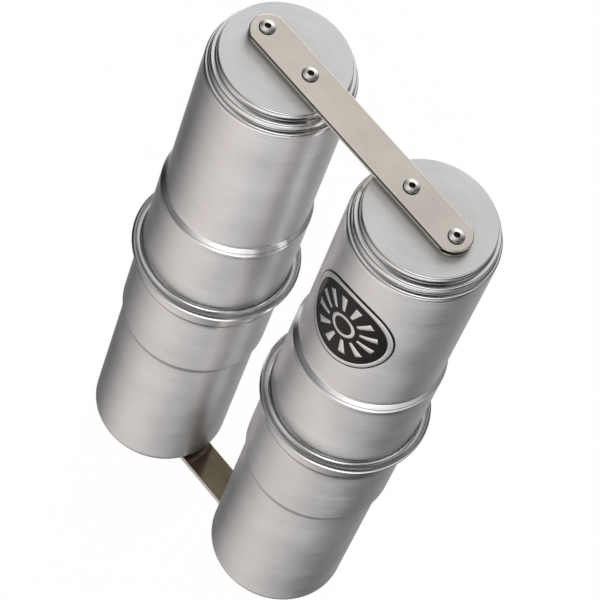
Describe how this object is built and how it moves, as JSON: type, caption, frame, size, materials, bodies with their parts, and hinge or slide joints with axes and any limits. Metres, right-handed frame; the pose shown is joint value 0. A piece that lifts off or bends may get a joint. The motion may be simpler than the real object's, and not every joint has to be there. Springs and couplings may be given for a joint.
{
  "type": "double canister ganza shaker",
  "caption": "Hand percussion shaker: sealed, stepped aluminium canisters side by side, riveted to flat steel straps at both ends, with loose steel shot sliding inside.",
  "frame": {"origin": "bottom centre of the bounding box: midway between the two canister axes, level with the crowns of the bottom rivet heads", "axes": "+Z along the canisters towards their stepped ends, +X along the straps towards the canister with the badge, -Y towards the side that the badge faces"},
  "size_m": [0.1892, 0.0872, 0.3406],
  "materials": {
    "canister_aluminium": "satin spun aluminium",
    "strap_steel": "satin nickel plate, slightly warm",
    "rivet_metal": "polished",
    "stem_steel": "dark broken steel",
    "badge_enamel": "gloss black enamel with bare metal rings",
    "shot_steel": "plain steel"
  },
  "bodies": {
    "shaker": {"left_upper_shell": "canister_aluminium", "left_lower_shell": "canister_aluminium", "right_upper_shell": "canister_aluminium", "right_lower_shell": "canister_aluminium", "top_strap": "strap_steel", "bottom_strap": "strap_steel", "top_left_spacer": "strap_steel", "top_right_spacer": "strap_steel", "bottom_left_spacer": "strap_steel", "bottom_right_spacer": "strap_steel", "top_left_outer_rivet": "rivet_metal", "top_left_inner_rivet": "rivet_metal", "top_right_outer_rivet": "rivet_metal", "top_right_inner_rivet": "rivet_metal", "bottom_left_outer_rivet": "rivet_metal", "bottom_left_inner_rivet": "rivet_metal", "bottom_right_outer_rivet": "rivet_metal", "bottom_right_inner_rivet": "rivet_metal", "top_left_outer_stem": "stem_steel", "top_left_inner_stem": "stem_steel", "top_right_outer_stem": "stem_steel", "top_right_inner_stem": "stem_steel", "bottom_left_outer_stem": "stem_steel", "bottom_left_inner_stem": "stem_steel", "bottom_right_outer_stem": "stem_steel", "bottom_right_inner_stem": "stem_steel", "badge": "badge_enamel"},
    "left_charge": {"left_shot": "shot_steel"},
    "right_charge": {"right_shot": "shot_steel"}
  },
  "joints": [
    {"name": "left_shot_slide", "type": "slide", "parent": "shaker", "child": "left_charge", "axis": [0, 0, 1], "range_m": [0, 0.3192]},
    {"name": "right_shot_slide", "type": "slide", "parent": "shaker", "child": "right_charge", "axis": [0, 0, 1], "range_m": [0, 0.3192]}
  ]
}
